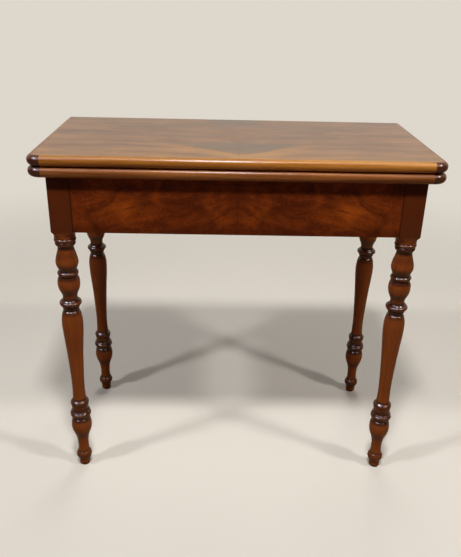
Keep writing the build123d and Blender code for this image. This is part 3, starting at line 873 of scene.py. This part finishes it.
@dataclass
class TurnedLeg:
    """A leg turned from a square blank, the square left at its top.

    Attributes:
        name: The name of the solid that it stands for.
        centre_x: Where its axis is, along the table.
        centre_y: Where its axis is, across the table.
        radius: The radius of its thickest turning.
        block_half: Half the width of its square.
        arris: The radius of the square's softened edges.
        block_bottom: The height at which the square starts.
        shoulder: The height of the round cut below the square's corners.
        top: The height of its top.
        bulge_share: How high the round cut has risen, as a share, when it is half way out.
    """

    name: str
    centre_x: float
    centre_y: float
    radius: float = 23 * MM
    block_half: float = 21.5 * MM
    arris: float = 0.8 * MM
    block_bottom: float = 580 * MM
    shoulder: float = 10 * MM
    top: float = 702.3 * MM
    bulge_share: float = 0.55

    def square(self, along: int = 12, bend: int = 5) -> np.ndarray:
        """Gives the outline of the square with its softened edges.

        A side and the quarter circle after it are made once and turned by four quarter turns.

        Args:
            along: How many points a side gets.
            bend: How many points a softened edge gets.

        Returns:
            The points, anticlockwise from above.
        """
        straight = self.block_half - self.arris
        side = np.stack([np.full(along, self.block_half),
                         np.linspace(-straight, straight, along)], 1)
        angle = np.linspace(0, math.pi / 2, bend + 2)[1:-1]
        corner = straight + self.arris * np.stack([np.cos(angle), np.sin(angle)], 1)
        quarter = np.concatenate([side, corner])
        turns = [np.array([[math.cos(turn), math.sin(turn)], [-math.sin(turn), math.cos(turn)]])
                 for turn in np.arange(4) * math.pi / 2]
        return np.concatenate([quarter @ turn for turn in turns])

    def profile(self) -> np.ndarray:
        """Gives the turning's radius and height from the floor to the top of the shoulder."""
        scale = np.array([self.radius, self.block_bottom]) / 1000
        starts = [FOOT, *(stretch[-1] for stretch in TURNING)]
        stretches = [through(np.array([start, *stretch])[:, ::-1] * scale)
                     for start, stretch in zip(starts, TURNING)]
        neck, reach = stretches[-1][-1, 0], self.block_half * math.sqrt(2)
        rise = through(np.array([
            [neck, self.block_bottom],
            [(neck + reach) / 2, self.block_bottom + self.shoulder * self.bulge_share],
            [reach, self.block_bottom + self.shoulder]]), 26)
        return np.concatenate([stretch[:-1] for stretch in stretches] + [rise])

    def wear(self, profile: np.ndarray) -> dict[str, np.ndarray]:
        """Finds where polish gathers on the turning and where it wears off.

        The radius is compared with its own running mean, over a narrow window of height for the
        grooves and a wider one for the crests. Rings are close together where the mean slope of
        the radius is steep.

        Args:
            profile: The radii and heights.

        Returns:
            From 0 to 1 for each ring: how much it lies in a hollow, on a crest, and among others.
        """
        heights = np.linspace(0, self.block_bottom, 2400)
        radii = np.interp(heights, profile[:, 1], profile[:, 0])
        grooved, level, steepness = (
            running_mean(values, heights[1], window) for values, window in (
                (radii, 7 * MM), (radii, 16 * MM), (np.abs(np.gradient(radii, heights)), 16 * MM)))
        found = {"hollow": (grooved - radii) / (0.9 * MM), "crest": (radii - level) / (1.8 * MM),
                 "busy": (steepness - 0.18) / 0.2}
        return {name: np.clip(np.interp(profile[:, 1], heights, values), 0, 1)
                for name, values in found.items()}

    def build(self, finish: bpy.types.Material) -> None:
        """Builds the leg.

        On each ray from the axis the surface lies at the turning's radius, and above the bottom of
        the block at the square's outline where that is nearer. Above the shoulder only the square
        is left.

        Args:
            finish: The material.
        """
        outline = self.square()
        reach = np.hypot(*outline.T)
        ray = outline / reach[:, None]
        profile = self.profile()
        levels = self.top - np.array([1.0, 0.3, 0.0]) * self.arris
        inset = np.array([0.0, 0.3, 1.0]) * self.arris
        turned = profile[:, 1:] < self.block_bottom
        cut = np.where(turned, profile[:, :1], np.minimum(profile[:, :1], reach))
        radii = np.concatenate([cut, reach - inset[:, None]])
        heights = np.concatenate([profile[:, 1], levels])
        traits = {name: np.concatenate([values, np.zeros(len(levels))])
                  for name, values in self.wear(profile).items()}
        flat = radii[..., None] * ray
        rings = np.dstack([flat[..., 0] + self.centre_x, flat[..., 1] + self.centre_y,
                           np.broadcast_to(heights[:, None], radii.shape)])
        piece = skin(f"{self.name}_turned", rings, finish, traits)
        settle(piece, "frame", self.name)


@dataclass
class Cloth:
    """A baize, let in flush with the edgings of a leaf.

    Attributes:
        name: The name of the solid that it stands for.
        body: The leaf that it moves with.
        core: The panel that it is glued to; not used.
        width: The width that it is cut to; not used.
        length: The length that it is cut to; not used.
        unevenness: How uneven its face is.
        waves: The sine waves of its face: radians in a metre along and across, and a shift.
    """

    name: str
    body: str
    core: str
    width: float = 335.4 * MM
    length: float = 719.4 * MM
    unevenness: float = 0.06 * MM
    waves: tuple[Triple, ...] = ((31, 17, 0.0), (73, -59, 1.3), (11, 97, 0.0))

    def build(self, finish: bpy.types.Material) -> None:
        """Builds the cloth as a thin closed slab of rings along its length.

        Both faces rise and fall together by the mean of the waves.

        Args:
            finish: The material.
        """
        low, high = (np.array(corner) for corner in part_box(self.name))
        stations = np.linspace(low[0], high[0], 150)
        across = np.linspace(low[1], high[1], 70)
        depth = np.concatenate([across, across[::-1]])
        middle = (low[2] + high[2]) / 2
        inner = middle + (np.repeat([low[2], high[2]], len(across)) - middle) * 0.8
        x, y = np.meshgrid(stations, depth, indexing="ij")
        wave = np.mean([np.sin(x * a + y * b + shift) for a, b, shift in self.waves], axis=0)
        rings = np.dstack([x, y, inner + wave * self.unevenness])
        piece = skin(f"{self.name}_cloth", rings, finish)
        settle(piece, self.body, self.name)


@dataclass
class Finishes:
    """Every material of the table, made once."""

    def __post_init__(self) -> None:
        """Makes the materials."""
        honey = Tones.seen((118, 66, 18), (154, 95, 32), (180, 121, 50))
        # Darker tones for the lower front moulding than for the upper: painted shade under the
        # upper leaf's round.
        brown = Tones.seen((100, 52, 20), (130, 77, 34), (158, 102, 52))
        umber = Tones.seen((84, 42, 16), (124, 70, 30), (156, 96, 46))
        red = Tones.seen((102, 49, 17), (118, 58, 21), (134, 69, 27))
        pale = Tones.seen((120, 84, 50), (158, 118, 74), (184, 146, 98))
        bright = Gloss(0.34, 0.2, 0.5, 0.13)
        dull = Gloss(0.36, 0.18, 0.36, 0.16)
        bare = Gloss(0.72, 0.2, 0.0, 0.5)
        self.front_moulding = {
            prefix: FrontMoulding(f"{prefix}_front_moulding", tones, gloss).make()
            for prefix, tones, gloss in (("upper", honey, bright), ("lower", brown, dull))}
        self.side_moulding = SideMoulding("side_moulding", umber, bright,
                                          grain=Grain(Run.DEPTH)).make()
        self.rear_moulding = Board("rear_moulding", umber, bright).make()
        self.turned = TurnedWood("turned_mahogany", red, Gloss(0.34, 0.08, 0.8, 0.07),
                                 grain=Grain(Run.HEIGHT, 260, 18)).make()
        self.front_veneer = FlameVeneer("front_veneer", matched=True).make()
        self.rear_veneer = FlameVeneer("rear_veneer").make()
        self.side_veneer = FlameVeneer("side_veneer", run=Run.DEPTH, end=134.5 * MM).make()
        self.top_veneer = TopVeneer().make()
        self.oak_along, self.oak_across, self.peg = (
            Board(name, pale, bare, grain=Grain(*grain)).make() for name, grain in (
                ("oak_along", (Run.LENGTH, 140, 20)), ("oak_across", (Run.DEPTH, 140, 20)),
                ("oak_peg", (Run.HEIGHT, 400, 60))))
        self.baize = Baize().make()
        self.brass = Metal("old_brass", shade(206, 164, 92), shade(120, 88, 44), 0.3, 0.5).make()
        self.iron = Metal("black_iron", shade(92, 90, 88), shade(58, 44, 36), 0.45, 0.7).make()
        self.steel = Metal("worn_steel", shade(168, 166, 162), shade(96, 84, 74), 0.36, 0.4).make()


@dataclass
class TableFrame:
    """The part that stands still: legs, veneered rails, pivot board and card compartment.

    Attributes:
        leg_x: How far the legs' axes are from the middle, along the table.
        leg_y: How far they are from the middle, across it.
    """

    leg_x: float = 345 * MM
    leg_y: float = 156 * MM

    def build(self, finishes: Finishes) -> None:
        """Builds the legs and dresses the rest.

        Args:
            finishes: The materials.
        """
        for depth, centre_y in (("front", -self.leg_y), ("rear", self.leg_y)):
            for width, centre_x in (("left", -self.leg_x), ("right", self.leg_x)):
                TurnedLeg(f"leg_{depth}_{width}", centre_x, centre_y).build(finishes.turned)
        dress = {
            finishes.oak_along: ["front_rail", "rear_rail", "front_bearer", "rear_bearer"],
            finishes.oak_across: ["left_rail", "right_rail", "pivot_board", "divider",
                                  "compartment_floor"],
            finishes.front_veneer: ["front_veneer_left", "front_veneer_right"],
            finishes.rear_veneer: ["rear_veneer"],
            finishes.side_veneer: ["left_veneer", "right_veneer"],
            finishes.steel: ["pivot_board_screws", "bearer_screws", "floor_nails"],
            finishes.iron: ["pivot_washer"],
        }
        for finish, nodes in dress.items():
            for node in nodes:
                keep(node, finish)


@dataclass
class Leaf:
    """One half of the folding top.

    Attributes:
        prefix: The first word of the names of its body and its solids.
    """

    prefix: str

    def build(self, finishes: Finishes) -> None:
        """Dresses the leaf and lays its cloth.

        Args:
            finishes: The materials.
        """
        keep(f"{self.prefix}_core", finishes.oak_along)
        keep(f"{self.prefix}_front_edging", finishes.front_moulding[self.prefix])
        keep(f"{self.prefix}_hinge_edging", finishes.rear_moulding)
        for side in ("left", "right"):
            keep(f"{self.prefix}_{side}_edging", finishes.side_moulding)
            keep(f"{self.prefix}_hinge_{side}", finishes.brass)
        keep(f"{self.prefix}_hinge_screws", finishes.brass)
        names = (f"{self.prefix}_{ending}" for ending in ("baize", "leaf", "core"))
        Cloth(*names).build(finishes.baize)


@dataclass
class Top:
    """The two leaves with the pivot below them and the links between them."""

    def build(self, finishes: Finishes) -> None:
        """Dresses the leaves, the figured veneer, the pivot and the links.

        Args:
            finishes: The materials.
        """
        for prefix in ("lower", "upper"):
            Leaf(prefix).build(finishes)
        for side in ("left", "right"):
            keep(f"upper_veneer_{side}", finishes.top_veneer)
            keep(f"hinge_link_{side}", finishes.brass)
        keep("hinge_pins", finishes.steel)
        for node in ("pivot_plate", "pivot_bolt", "pivot_nut"):
            keep(node, finishes.iron)
        keep("pivot_plate_screws", finishes.steel)
        keep("stop_peg", finishes.peg)


# ---- Studio ----


@dataclass(frozen=True)
class Lamp:
    """A soft square lamp.

    Attributes:
        name: Its name.
        place: Where it hangs.
        size: The length of its sides.
        power: Its power in watts.
        colour: Its colour.
        mirrored: Whether polish mirrors it.
    """

    name: str
    place: Triple
    size: float
    power: float
    colour: Triple = (1.0, 1.0, 1.0)
    mirrored: bool = True

    def hang(self) -> None:
        """Hangs the lamp and turns it to the middle of the table."""
        light = bpy.data.lights.new(self.name, "AREA")
        light.size, light.energy, light.color = self.size, self.power, self.colour
        lamp = stand(self.name, light)
        lamp.location = self.place
        lamp.visible_glossy = self.mirrored
        aim = Vector(LAMPS_AIM) - Vector(self.place)
        lamp.rotation_euler = aim.to_track_quat("-Z", "Y").to_euler()


@dataclass
class Studio:
    """The floor, the pale surroundings, the lamps and the camera of the photograph.

    Attributes:
        eye: Where the camera stands.
        pitch: How far it looks down, in radians.
        yaw: How far it is turned to the left, in radians.
        roll: How far it is tilted, in radians.
        focal: Its focal length in pixels of the photograph.
        long_side: The photograph's long side in pixels.
        reach: Half the width of the floor.
        fade: From where to where the floor passes into the backdrop, from the middle outwards.
        backdrop: The pale colour of the backdrop.
        pale: The two pale colours of the floor.
        boards: The colour of the light that the floor throws back on the table.
        ambient: How strong the light is that comes from all around.
    """

    eye: Triple = (-0.03824, -1.36647, 1.04068)
    pitch: float = 0.42992
    yaw: float = -0.02351
    roll: float = 0.02422
    focal: float = 640.81
    long_side: int = 557
    reach: float = 9.0
    fade: tuple[float, float] = (0.9, 2.4)
    backdrop: Colour = shade(222, 215, 204)
    pale: tuple[Colour, Colour] = (shade(216, 208, 196), shade(222, 214, 202))
    boards: Colour = shade(150, 122, 92)
    ambient: float = 0.05

    def floor(self) -> None:
        """Lays a plain pale floor, which throws the light of brown boards back on the table."""
        corners = self.reach * np.array([[-1, -1, 0], [1, -1, 0], [1, 1, 0], [-1, 1, 0]])
        mesh = bpy.data.meshes.new("floor")
        mesh.from_pydata(corners.tolist(), [], [[0, 1, 2, 3]])
        recipe = Recipe("pale_floor")
        length, depth, _ = recipe.axes
        seen = recipe.add("LightPath", output="Is Camera Ray")
        pale = recipe.stain(self.pale[0], (recipe.noise(recipe.place, 1.5), self.pale[1]))
        lit = recipe.add("BsdfPrincipled", {
            "Base Color": recipe.stain(self.boards, (seen, pale)),
            "Roughness": 0.75, "Specular IOR Level": 0.15})
        glow = recipe.light("Emission", self.backdrop, 1.0)
        far = ((length * length + depth * depth) ** 0.5).between(*self.fade)
        shader = recipe.cross(seen * far, lit, glow)
        recipe.add("OutputMaterial", {"Surface": shader})
        mesh.materials.append(recipe.made)
        stand("floor", mesh)

    def surroundings(self) -> None:
        """Makes the room.

        The camera sees it pale. Polish mirrors a pale wall low behind the table, a hazy ceiling
        with a bright strip above the viewer, a bluish window at the left and a warm one at the
        right.
        """
        room = Recipe("room", bpy.data.worlds)
        seen, mirrored = (room.add("LightPath", output=f"Is {ray} Ray")
                          for ray in ("Camera", "Glossy"))
        across, back, up = room.split(room.add("TexCoord", output="Generated"))
        side, right = abs(across), across.between(-0.1, 0.1)
        wall = back.between(0.0, 0.4) * up.fade(0.45, 0.92) * across.between(-0.1, 0.2, 0.74, 0.80)
        core = side.fade(0.0, 0.1) * up.fade(0.94, 0.99)
        strip = up.between(0.66, 0.8) * back.band(-0.7, -0.5, 0.0, 0.2) * (0.035 + core * 0.965)
        windows = (side.band(0.2, 0.36, 0.72, 0.8) * up.band(0.5, 0.56, 0.76, 0.84)
                   * back.fade(-0.1, 0.0))
        ambient, pale, dim, haze, lit, daylight, lamplight = (
            room.light("Background", colour, strength) for colour, strength in (
                (shade(255, 250, 244), self.ambient), (self.backdrop, 1.0),
                (shade(170, 150, 130), 0.2), (shade(226, 208, 186), 0.6),
                (shade(226, 236, 255), 56.0), (shade(226, 230, 255), 11.0),
                (shade(255, 226, 196), 5.0)))
        inside = room.cross(up.between(0.6, 0.85), dim, haze)
        for share, light in ((strip, lit), (windows * (1.0 - right), daylight),
                             (windows * right, lamplight)):
            inside = room.cross(share, inside, light)
        around = room.cross(mirrored, ambient, inside)
        shader = room.cross(seen.maximum(mirrored * wall), around, pale)
        room.add("OutputWorld", {"Surface": shader})
        bpy.context.scene.world = room.made

    def lamps(self) -> None:
        """Hangs the lamps: one above the viewer, one to each side and a softer one behind."""
        Lamp("front_lamp", (-0.03, -1.20, 2.85), 0.25, 48, mirrored=False).hang()
        Lamp("left_lamp", (-2.1, -1.15, 2.9), 0.3, 38, (0.92, 0.95, 1.0)).hang()
        Lamp("right_lamp", (2.1, -1.15, 2.9), 0.3, 37).hang()
        Lamp("rear_lamp", (0.3, 2.1, 2.6), 1.4, 30, mirrored=False).hang()

    def camera(self) -> None:
        """Sets the camera up: it looks along the depth of the table, then is turned and tilted."""
        data = bpy.data.cameras.new("camera")
        data.lens = self.focal / self.long_side * data.sensor_width
        camera = stand("camera", data)
        camera.matrix_world = (
            Matrix.Translation(self.eye) @ Matrix.Rotation(self.yaw, 4, "Z")
            @ Matrix.Rotation(math.pi / 2 - self.pitch, 4, "X")
            @ Matrix.Rotation(self.roll, 4, "Z"))
        bpy.context.scene.camera = camera

    def build(self) -> None:
        """Sets up the whole studio."""
        self.floor()
        self.surroundings()
        self.lamps()
        self.camera()
        bpy.context.scene.view_settings.view_transform = "Standard"
        log.info("set up the studio")


def main() -> None:
    """Builds the studio, then the table from the floor up."""
    logging.basicConfig(level=logging.INFO, format="%(message)s")
    Studio().build()
    finishes = Finishes()
    TableFrame().build(finishes)
    Top().build(finishes)


if __name__ == "__main__":
    main()
